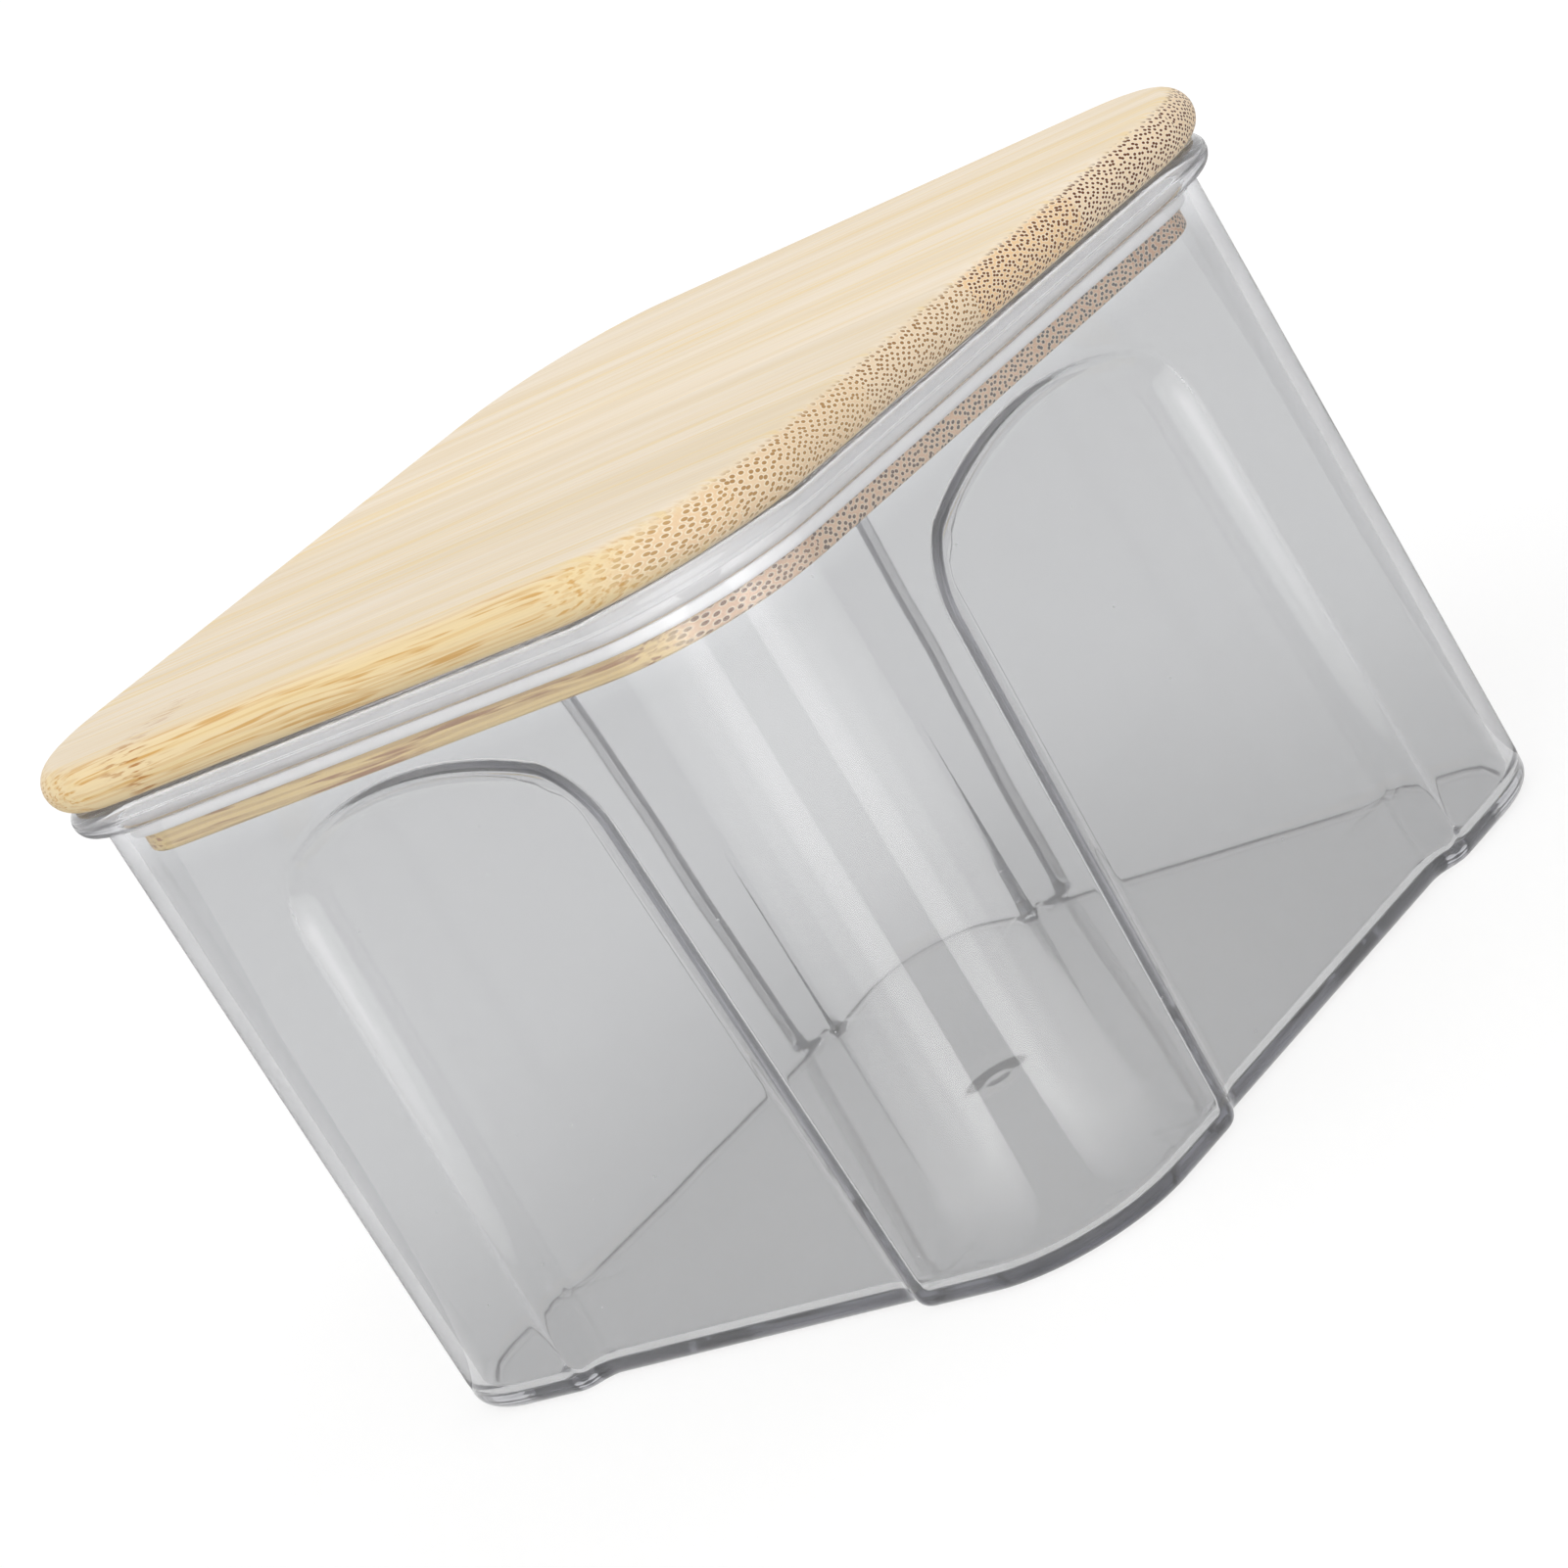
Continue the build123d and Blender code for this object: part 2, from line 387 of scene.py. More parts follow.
def whiteSilicone():
    material, tree, shader = newMaterial("whiteSilicone", IOR=silicone["ior"],
                                         Roughness=silicone["roughness"],
                                         Subsurface_Weight=silicone["subsurface"],
                                         Subsurface_Scale=silicone["subsurfaceDepth"],
                                         Subsurface_Radius=silicone["subsurfaceRadius"])
    place = objectPlace(tree)
    cloud = noise(tree, place, silicone["cloud"], 3.0).outputs[0]
    shade = remap(tree, cloud, 0.3, 0.7, silicone["cloudLight"], 1.0)
    colour = mixColour(tree, shade, silicone["cloudColour"], silicone["colour"])
    tree.links.new(colour, shader.inputs["Base Color"])
    grain = noise(tree, place, silicone["grain"], 2.0).outputs[0]
    bump = addNode(tree, "ShaderNodeBump", {"Strength": silicone["grainStrength"], "Height": grain,
                                            "Distance": silicone["grainHeight"] * mm})
    tree.links.new(bump.outputs[0], shader.inputs["Normal"])
    return material


bamboo = {
    "bundleWide": 0.72,  # pitch of the dark vessels along Y, seen on the end grain
    "bundleHigh": 0.48,  # and up
    "bundleSlant": 38.0,  # rows of bundles lie askew
    "bundleDrift": 0.8,  # how far a bundle wanders
    "bundleUneven": 0.55,
    "driftLength": 46.0,
    "driftAcross": 0.11,  # per millimetre
    "vesselEdge": (0.24, 0.37),  # from its middle, in pitches
    "sheathEdge": (0.34, 0.52),  # of the pale ring round it
    # streaks of the grain, each as its length, how many to the millimetre across it, its detail
    # and the values of its noise over which it comes in
    "broad": (90.0, 0.3, 2.0, 0.3, 0.7),
    "fine": (70.0, 1.5, 3.0, 0.52, 0.7),
    "line": (150.0, 0.75, 1.0, 0.58, 0.66),
    "dash": (14.0, 2.2, 2.0, 0.53, 0.68),
    "knotDash": (4.0, 2.6, 2.0, 0.5, 0.62),
    "fibre": (24.0, 5.0, 3.0, 0.3, 0.7),
    # the most that one of them shows
    "fineShare": 0.65,
    "lineShare": 0.7,
    "sideShare": 0.8,
    # or its share on a level face, and what a side adds to it
    "dashShare": (0.03, 0.75),
    "vesselShare": (0.05, 0.22),
    "knotShare": (0.4, 0.5),
    "knotHalf": 5.5,  # half the length of the knotty stretch along a strip
    "knotBend": 9.0,  # how far that stretch wanders
    "knotWander": 0.2,  # per millimetre
    "endFacing": (0.3, 0.68),  # how squarely a face meets X where the end grain takes over
    "sideFacing": (0.12, 0.75),  # and Y, where the edge's deeper tones do
    "ior": 1.35,
    "gloss": 0.3,
    "roughness": (0.46, 0.6),
    "fibreTone": (0.96, 1.03),
    "vesselPit": 0.15,
    "fibreRelief": 0.35,
    "relief": 0.05,
    "reliefStrength": 0.5,
}

bambooTop = {
    "cream": srgb(240, 226, 205),
    "honey": srgb(233, 215, 185),
    "edge": srgb(236, 212, 162),
    "sheath": srgb(246, 232, 208),
    "ground": srgb(234, 212, 182),
    "warm": srgb(232, 196, 150),
    "vessel": srgb(92, 40, 10),
    "paleVessel": srgb(186, 148, 98),  # where a strip's dots are faint
    "streak": srgb(208, 156, 78),
    "knot": srgb(180, 120, 56),
}

# the plug's tones are lighter and warmer than the top's: partly the plug's own tone, partly painted light
# that makes up for the shade it sits in under the lid and behind the plastic
bambooPlug = {
    "cream": srgb(255, 234, 184),
    "honey": srgb(250, 220, 158),
    "edge": srgb(252, 220, 146),
    "sheath": srgb(255, 236, 208),
    "ground": srgb(248, 212, 176),
    "warm": srgb(228, 176, 134),
    "vessel": srgb(44, 14, 4),
    "paleVessel": srgb(150, 100, 56),
    "streak": srgb(160, 88, 30),
    "knot": srgb(150, 100, 66),
}


def stripValue(tree, name):
    return addNode(tree, "ShaderNodeAttribute", attribute_name=name).outputs["Fac"]


def bambooMaterial(name, tones):
    material, tree, shader = newMaterial(name, IOR=bamboo["ior"], Specular_IOR_Level=bamboo["gloss"])

    def times(first, second):
        return calc(tree, "MULTIPLY", first, second)

    def grain(around, kind):
        along, across, detail = bamboo[kind][:3]
        stretched = vectorCalc(tree, "MULTIPLY", around, (1 / along, across, across))
        return noise(tree, stretched, 1.0, detail, 0.6).outputs[0]

    def streaks(around, kind):
        return remap(tree, grain(around, kind), *bamboo[kind][3:])

    onLid = objectPlace(tree)
    seed = stripValue(tree, "stripSeed")
    shift = {0: times(seed, 31.0), 1: times(seed, 7.3), 2: times(seed, 3.1)}  # no two strips alike
    place = vectorCalc(tree, "ADD", onLid, addNode(tree, "ShaderNodeCombineXYZ", shift).outputs[0])
    normal = addNode(tree, "ShaderNodeTexCoord").outputs["Normal"]
    facing = addNode(tree, "ShaderNodeSeparateXYZ", {0: normal})
    endFacing = remap(tree, calc(tree, "ABSOLUTE", facing.outputs[0]), *bamboo["endFacing"])
    sideFacing = remap(tree, calc(tree, "ABSOLUTE", facing.outputs[1]), *bamboo["sideFacing"])

    def byFacing(shares):
        return total(tree, shares[0], times(sideFacing, shares[1]))

    # vessels run along X and wander, so that the end grain has dots and the sides have dashes
    wanderAcross = bamboo["driftAcross"]
    slow = vectorCalc(tree, "MULTIPLY", place, (1 / bamboo["driftLength"], wanderAcross, wanderAcross))
    wander = vectorCalc(tree, "SUBTRACT", noise(tree, slow, 1.0, 2.0).outputs["Color"], (0.5, 0.5, 0.5))
    drift = bamboo["bundleDrift"] * 2
    drifted = vectorCalc(tree, "ADD", place, vectorCalc(tree, "MULTIPLY", wander, (0, drift, drift)))
    split = addNode(tree, "ShaderNodeSeparateXYZ", {0: drifted})
    size = stripValue(tree, "stripBundle")
    across = calc(tree, "DIVIDE", split.outputs[1], times(size, bamboo["bundleWide"]))
    upward = calc(tree, "DIVIDE", split.outputs[2], times(size, bamboo["bundleHigh"]))
    cell = addNode(tree, "ShaderNodeCombineXYZ", {0: across, 1: upward}).outputs[0]
    slant = {"Vector": cell, "Angle": radians(bamboo["bundleSlant"])}
    cell = addNode(tree, "ShaderNodeVectorRotate", slant, rotation_type="Z_AXIS").outputs[0]
    bundles = addNode(tree, "ShaderNodeTexVoronoi", {"Vector": cell, "Scale": 1.0,
                                                     "Randomness": bamboo["bundleUneven"]},
                      voronoi_dimensions="2D")
    distance = bundles.outputs["Distance"]
    vessel = remap(tree, distance, *bamboo["vesselEdge"], 1.0, 0.0)
    sheath = remap(tree, distance, *bamboo["sheathEdge"])

    # long grain: soft bands and streaks, then dark dashes, most of all on the sides
    long = mixColour(tree, streaks(place, "broad"), tones["cream"], tones["honey"])
    for share in (times(streaks(place, "fine"), bamboo["fineShare"]),
                  times(streaks(drifted, "line"), bamboo["lineShare"]),
                  times(sideFacing, bamboo["sideShare"])):
        long = mixColour(tree, share, long, tones["edge"])
    for share in (times(streaks(drifted, "dash"), byFacing(bamboo["dashShare"])),
                  times(vessel, byFacing(bamboo["vesselShare"]))):
        long = mixColour(tree, share, long, tones["streak"])

    # a knotty stretch across a strip, where the cane had a joint
    knotPlace = stripValue(tree, "stripKnot")
    spot = addNode(tree, "ShaderNodeSeparateXYZ", {0: onLid})
    bend = times(noise(tree, onLid, bamboo["knotWander"], 2.0).outputs[0], bamboo["knotBend"])
    offKnot = total(tree, spot.outputs[0], bend, times(knotPlace, -1.0), -bamboo["knotBend"] / 2)
    inKnot = remap(tree, calc(tree, "ABSOLUTE", offKnot), 0.0, bamboo["knotHalf"], 1.0, 0.0)
    knotShare = times(times(inKnot, streaks(onLid, "knotDash")), byFacing(bamboo["knotShare"]))
    long = mixColour(tree, knotShare, long, tones["knot"])

    # end grain, a dark vessel in a pale ring
    ground = mixColour(tree, stripValue(tree, "stripWarmth"), tones["ground"], tones["warm"])
    end = mixColour(tree, sheath, tones["sheath"], ground)
    dot = mixColour(tree, stripValue(tree, "stripDots"), tones["paleVessel"], tones["vessel"])
    end = mixColour(tree, vessel, end, dot)
    colour = mixColour(tree, endFacing, long, end)
    fibre = grain(place, "fibre")
    fibreSpan = bamboo["fibre"][3:]
    shade = remap(tree, fibre, *fibreSpan, *bamboo["fibreTone"], smooth=False)
    shade = times(shade, stripValue(tree, "stripTone"))
    shades = addNode(tree, "ShaderNodeCombineXYZ", {0: shade, 1: shade, 2: shade}).outputs[0]
    tree.links.new(vectorCalc(tree, "MULTIPLY", colour, shades), shader.inputs["Base Color"])

    rough = remap(tree, fibre, *fibreSpan, *bamboo["roughness"], smooth=False)
    tree.links.new(rough, shader.inputs["Roughness"])
    pits = times(vessel, times(endFacing, -bamboo["vesselPit"]))
    height = total(tree, pits, times(fibre, bamboo["fibreRelief"]))
    bump = addNode(tree, "ShaderNodeBump", {"Strength": bamboo["reliefStrength"], "Height": height,
                                            "Distance": bamboo["relief"] * mm})
    tree.links.new(bump.outputs[0], shader.inputs["Normal"])
    return material


plasticMaterial = clearPlastic()
siliconeMaterial = whiteSilicone()
topMaterial = bambooMaterial("bambooTop", bambooTop)
plugMaterial = bambooMaterial("bambooPlug", bambooPlug)
print("materials made")


# mesh helpers

def newPiece(name, mesh, material):
    if not mesh.materials:
        mesh.materials.append(material)
    piece = bpy.data.objects.new(name, mesh)
    scene.collection.objects.link(piece)
    return piece


def spreadAcross(across, arc, turn, half, corner):
    # a point of a rounded square: on the flat of one of its sides, or on the corner after it
    if arc is None:
        spot = Vector((across, -half))
    else:
        angle = radians(90 * arc - 90)
        spot = Vector((half - corner + corner * cos(angle), corner - half + corner * sin(angle)))
    return Matrix.Rotation(radians(90 * turn), 2) @ spot


def finishMesh(mesh, sharpAngle=None):
    work = bmesh.new()
    work.from_mesh(mesh)
    bmesh.ops.recalc_face_normals(work, faces=work.faces)
    work.to_mesh(mesh)
    work.free()
    for polygon in mesh.polygons:
        polygon.use_smooth = True
    if sharpAngle:
        mesh.set_sharp_from_angle(angle=radians(sharpAngle))


def evenSteps(start, end, step):
    count = max(1, round(abs(end - start) / step))
    return [start + (end - start) * place / count for place in range(count)]


# geometry tree helpers

def newTree(name, sizes):
    # a tree with a mesh input and output, and one named number input for each size
    tree = bpy.data.node_groups.new(name, "GeometryNodeTree")
    tree.interface.new_socket(name="Geometry", in_out="INPUT", socket_type="NodeSocketGeometry")
    for size in sizes:
        tree.interface.new_socket(name=size, in_out="INPUT", socket_type="NodeSocketFloat")
    tree.interface.new_socket(name="Geometry", in_out="OUTPUT", socket_type="NodeSocketGeometry")
    start = addNode(tree, "NodeGroupInput")
    return tree, start


def closeTree(tree, geometry, material):
    real = addNode(tree, "GeometryNodeRealizeInstances", {0: geometry})
    painted = addNode(tree, "GeometryNodeSetMaterial", {"Geometry": real.outputs[0], "Material": material})
    end = addNode(tree, "NodeGroupOutput")
    tree.links.new(painted.outputs[0], end.inputs[0])


def runTree(piece, tree, sizes):
    # sets the inputs by identifier, then keeps the result as a plain mesh
    modifier = piece.modifiers.new(tree.name, "NODES")
    modifier.node_group = tree
    for item in tree.interface.items_tree:
        if item.in_out == "INPUT" and item.name in sizes:
            modifier[item.identifier] = float(sizes[item.name])
    graph = bpy.context.evaluated_depsgraph_get()
    mesh = bpy.data.meshes.new_from_object(piece.evaluated_get(graph))
    mesh.name = piece.name
    piece.modifiers.remove(modifier)
    piece.data = mesh


# jar, a closed grid of columns round the outline and rows over its section, which a
# geometry tree then presses the four finger grips into

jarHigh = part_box("jar_body")[1] / mm

jar = {
    "draft": 0.54,
    "corner": 16.7,  # under the rim
    "wall": 1.6,
    "floor": 1.6,
    "footRound": 1.9,
    "innerFootRound": 1.9,
    "rimHeight": 3.3,
    "rimReach": 2.55,
    "rimUnderRound": 1.8,
    "rimTopRound": 1.45,
    "rimRoot": 0.45,
    "mouthRound": 0.5,
    "seatGap": 0.05,  # left under the lid, so that the two faces don't coincide
    "ripple": 0.035,  # unevenness of the inner skin
    "rippleLength": 15.0,
}

grip = {
    "margin": 8.2,
    "lean": 2.1,
    "headroom": 4.2,
    "archRadius": 50.0,
    "shoulder": 6.5,
    "depth": 2.2,
    "slope": 48.0,  # where the step is steepest
    "outerBend": 2.6,
    "probe": 0.02,  # how far off its slope is measured
}

gate = {
    "dishRadius": 2.6,
    "dishDepth": 0.08,
    "stubRadius": 0.7,
    "stubHeight": 0.04,
    "edge": 0.04,
}

jarMesh = {
    "cornerColumns": 20,
    "stepPitch": 0.33,  # between columns and rows in a grip's step
    "flatPitch": 2.2,
    "rowPitch": 2.4,
    "rimPitch": 0.6,  # between rows over the arch
    "footGap": 2.0,  # from the foot's round to the first row
    "rimPoints": 8,
    "roundPoints": 6,
    "smallPoints": 4,
    "archStart": 30.0,  # level where rows start to bend with the grips' arch
    "archWhole": 57.0,  # and where they follow it wholly
    "archOver": 0.8,  # over the arch, where they start to straighten
    "archUnder": 0.6,  # under the rim, where they are straight again
    "archInset": 2.0,  # in from a grip's side, where they stop bending
    "leastCorner": 1.0,
    "circle": 12.0,  # radius that the rows near the middle of the floor run into
    # rows in from the wall, each as how far in, its share of the grips' press and of the circle
    "undersideRows": ((36.0, 0.0, 0.8), (24.0, 0.0, 0.3), (16.0, 0.1, 0.0), (11.0, 0.35, 0.0),
                      (7.0, 0.7, 0.0), (4.0, 0.95, 0.0), (2.4, 1.0, 0.0)),
    "floorRows": ((4.4, 1.0, 0.0), (7.0, 0.8, 0.0), (11.0, 0.4, 0.0), (16.0, 0.1, 0.0),
                  (24.0, 0.0, 0.3), (36.0, 0.0, 0.8)),
    "floorCircles": (6.0, 2.0),
}

rimBase = jarHigh.z - jar["rimHeight"]
leanRate = tan(radians(jar["draft"]))
rimHalf = jarHigh.x
wallHalf = rimHalf - jar["rimReach"]
flatHalf = wallHalf - jar["corner"]
gripHalf = flatHalf - grip["margin"]
gripApex = rimBase - grip["headroom"]
hollowBend = grip["depth"] / (1 - cos(radians(grip["slope"]))) - grip["outerBend"]
stepWidth = (grip["outerBend"] + hollowBend) * sin(radians(grip["slope"]))


def outlineAt(level):
    drawnIn = (rimBase - level) * leanRate
    return wallHalf - drawnIn, jar["corner"] - drawnIn


def smoothStep(value, low, high):
    share = min(1.0, max(0.0, (value - low) / (high - low)))
    return share * share * (3 - 2 * share)


def jarColumns():
    # each column: side it is on, place across the side's flat, whether it leans with the
    # grip (0 to 1), and its share of the corner's arc
    edge = gripHalf + 2 * jarMesh["stepPitch"]
    inner = gripHalf - stepWidth - 2 * jarMesh["stepPitch"]
    right = evenSteps(0, inner, jarMesh["flatPitch"])
    right += evenSteps(inner, edge, jarMesh["stepPitch"])
    right += evenSteps(edge, flatHalf, jarMesh["flatPitch"]) + [flatHalf]
    across = [-place for place in reversed(right[1:])] + right
    columns = []
    for turn in range(4):
        for place in across:
            span = abs(place)
            leaning = min(span / inner, 1.0, (flatHalf - span) / (flatHalf - edge))
            columns.append((turn, place, leaning, None))
        for count in range(1, jarMesh["cornerColumns"]):
            columns.append((turn, 0.0, 0.0, count / jarMesh["cornerColumns"]))
    return columns


def archSag(across):
    radius = grip["archRadius"]
    span = min(abs(across), gripHalf - jarMesh["archInset"])
    return radius - sqrt(radius**2 - span**2)


def rowBend(level):
    # how far a row of the grid follows the arch: none at the foot and rim, wholly at the arch
    rising = smoothStep(level, jarMesh["archStart"], jarMesh["archWhole"])
    over, under = gripApex + jarMesh["archOver"], rimBase - jarMesh["archUnder"]
    return rising * (1 - smoothStep(level, over, under))


def wallLevels():
    pitch = jarMesh["stepPitch"]
    shoulderLow = gripApex - stepWidth - grip["shoulder"]
    levels = evenSteps(jar["footRound"] + jarMesh["footGap"], shoulderLow, jarMesh["rowPitch"])
    levels += evenSteps(shoulderLow, gripApex + 2 * pitch, pitch)
    levels += evenSteps(gripApex + 2 * pitch, rimBase - jar["rimRoot"], jarMesh["rimPitch"])
    return levels


def arcSteps(centre, radius, start, end, points):
    # points of an arc in section, each as the distance out and the level
    steps = []
    for count in range(points + 1):
        angle = radians(start + (end - start) * count / points)
        steps.append((centre[0] + radius * cos(angle), centre[1] + radius * sin(angle)))
    return steps


def jarSection():
    # rows from the middle of the underside, up the outside, over the rim, down the inside and in
    # to the middle of the floor. Each is: distance out from the wall's outer skin, level, depth
    # below the skin that the grips press, share of the press, a circle's radius, share of it
    rows = []
    dish, stub, edge = gate["dishRadius"], gate["stubRadius"], gate["edge"]
    deep = gate["dishDepth"]
    stubLow = deep - gate["stubHeight"]
    for radius, level in ((stub - edge, stubLow), (stub, stubLow + edge), (stub, deep - edge),
                          (stub + edge, deep), (dish - 3 * edge, deep), (dish - edge, deep - edge),
                          (dish, deep / 2), (dish + edge, edge), (dish + 3 * edge, 0.0), (2 * dish, 0.0)):
        rows.append((0.0, level, 0.0, 0.0, radius, 1.0))
    footRound = jar["footRound"]
    for inward, share, circle in jarMesh["undersideRows"]:
        rows.append((-inward, 0.0, 0.0, share, jarMesh["circle"], circle))
    for out, level in arcSteps((-footRound, footRound), footRound, -90, 0, jarMesh["roundPoints"]):
        rows.append((out, level, 0.0, 1.0, 0.0, 0.0))
    for level in wallLevels():
        rows.append((0.0, level, 0.0, 1.0, 0.0, 0.0))
    root = jar["rimRoot"]
    bead = arcSteps((root, rimBase - root), root, 180, 90, jarMesh["smallPoints"])
    top = jarHigh.z - jar["seatGap"]
    for radius, level, start in ((jar["rimUnderRound"], rimBase + jar["rimUnderRound"], -90),
                                 (jar["rimTopRound"], top - jar["rimTopRound"], 0)):
        bead += arcSteps((jar["rimReach"] - radius, level), radius, start, start + 90, jarMesh["rimPoints"])
    for out, level in bead:
        rows.append((out, level, 0.0, 0.0, 0.0, 0.0))
    mouth, wall = jar["mouthRound"], jar["wall"]
    for out, level in arcSteps((mouth - wall, top - mouth), mouth, 90, 180, jarMesh["smallPoints"]):
        rows.append((out, level, wall, 0.0, 0.0, 0.0))
    rows.append((-wall, top - 2 * mouth, wall, 0.0, 0.0, 0.0))
    rows.append((-wall, rimBase, wall, 0.0, 0.0, 0.0))
    for level in reversed(wallLevels()):
        rows.append((-wall, level, wall, 1.0, 0.0, 0.0))
    inner, low = jar["innerFootRound"], jar["floor"]
    for out, level in arcSteps((-wall - inner, low + inner), inner, 0, -90, jarMesh["roundPoints"]):
        rows.append((out, level, wall, 1.0, 0.0, 0.0))
    for inward, share, circle in jarMesh["floorRows"]:
        rows.append((-inward, low, wall, share, jarMesh["circle"], circle))
    for radius in jarMesh["floorCircles"]:
        rows.append((0.0, low, wall, 0.0, radius, 1.0))
    return rows


def jarGrid():
    columns = jarColumns()
    rows = jarSection()
    headings = []
    for turn, across, leaning, arc in columns:
        spot = spreadAcross(across, arc, turn, wallHalf, jar["corner"])
        headings.append(spot.normalized())
    points, insets, presses = [], [], []
    least = jarMesh["leastCorner"]
    for out, level, inset, press, radius, circle in rows:
        bend = rowBend(level)
        for (turn, across, leaning, arc), heading in zip(columns, headings):
            span = gripHalf if arc is not None else across
            height = level - bend * archSag(span)
            half, corner = outlineAt(height)
            half, corner = half + out, corner + out
            lean = leaning * height * tan(radians(grip["lean"]))
            place = across - lean if across > 0 else across + lean
            if corner < least:
                place *= max(half - least, 0.0) / flatHalf
                corner = least
            spot = spreadAcross(place, arc, turn, half, corner)
            spot = spot.lerp(heading * radius, circle)
            points.append((spot.x * mm, spot.y * mm, height * mm))
            insets.append(inset * mm)
            presses.append(press)
    wide = len(columns)
    faces = []
    for row in range(len(rows) - 1):
        for column in range(wide):
            following = (column + 1) % wide
            low, high = row * wide, (row + 1) * wide
            faces.append((low + column, low + following, high + following, high + column))
    for row, level in ((0, rows[0][1]), (len(rows) - 1, rows[-1][1])):
        pole = len(points)
        points.append((0.0, 0.0, level * mm))
        insets.append(0.0)
        presses.append(0.0)
        for column in range(wide):
            faces.append((row * wide + column, pole, row * wide + (column + 1) % wide))
    mesh = bpy.data.meshes.new("jar")
    mesh.from_pydata(points, [], faces)
    finishMesh(mesh)
    for name, values in (("inset", insets), ("press", presses)):
        mesh.attributes.new(name, "FLOAT", "POINT").data.foreach_set("value", values)
    return mesh


def gripDepthGroup():
    # how deep a grip is at a point of the wall: two bends that meet in a slope
    sizes = ("Across", "Up", "Half", "Lean", "Apex", "Arch Radius", "Shoulder", "Outer Bend",
             "Hollow Bend", "Slope")
    tree = bpy.data.node_groups.new("gripDepth", "GeometryNodeTree")
    for size in sizes:
        tree.interface.new_socket(name=size, in_out="INPUT", socket_type="NodeSocketFloat")
    tree.interface.new_socket(name="Depth", in_out="OUTPUT", socket_type="NodeSocketFloat")
    start = addNode(tree, "NodeGroupInput").outputs
    across, up, shoulder = start["Across"], start["Up"], start["Shoulder"]
    outer, hollow = start["Outer Bend"], start["Hollow Bend"]

    def less(first, second):
        return calc(tree, "SUBTRACT", first, second)

    def times(first, second):
        return calc(tree, "MULTIPLY", first, second)

    def squareRootGap(radius, offset):
        gap = less(times(radius, radius), times(offset, offset))
        return calc(tree, "SQRT", calc(tree, "MAXIMUM", gap, 0.0))

    # distance in from the leaning side, and from the arch
    leaned = less(less(start["Half"], across), times(up, calc(tree, "TANGENT", start["Lean"])))
    fromSide = times(leaned, calc(tree, "COSINE", start["Lean"]))
    rise = total(tree, less(up, start["Apex"]), start["Arch Radius"])
    toCentre = calc(tree, "SQRT", total(tree, times(across, across), times(rise, rise)))
    fromArch = less(start["Arch Radius"], toCentre)
    # the shoulder's fillet joins the two
    shortSide = calc(tree, "MAXIMUM", less(shoulder, fromSide), 0.0)
    shortArch = calc(tree, "MAXIMUM", less(shoulder, fromArch), 0.0)
    short = calc(tree, "SQRT", total(tree, times(shortSide, shortSide), times(shortArch, shortArch)))
    inside = less(shoulder, short)
    # down the step
    sine, cosine = calc(tree, "SINE", start["Slope"]), calc(tree, "COSINE", start["Slope"])
    outerWidth, hollowWidth = times(outer, sine), times(hollow, sine)
    past = calc(tree, "MINIMUM", calc(tree, "MAXIMUM", inside, 0.0), outerWidth)
    first = less(outer, squareRootGap(outer, past))
    left = less(total(tree, outerWidth, hollowWidth), inside)
    left = calc(tree, "MINIMUM", calc(tree, "MAXIMUM", left, 0.0), hollowWidth)
    second = less(squareRootGap(hollow, left), times(hollow, cosine))
    end = addNode(tree, "NodeGroupOutput")
    tree.links.new(total(tree, first, second), end.inputs[0])
    return tree


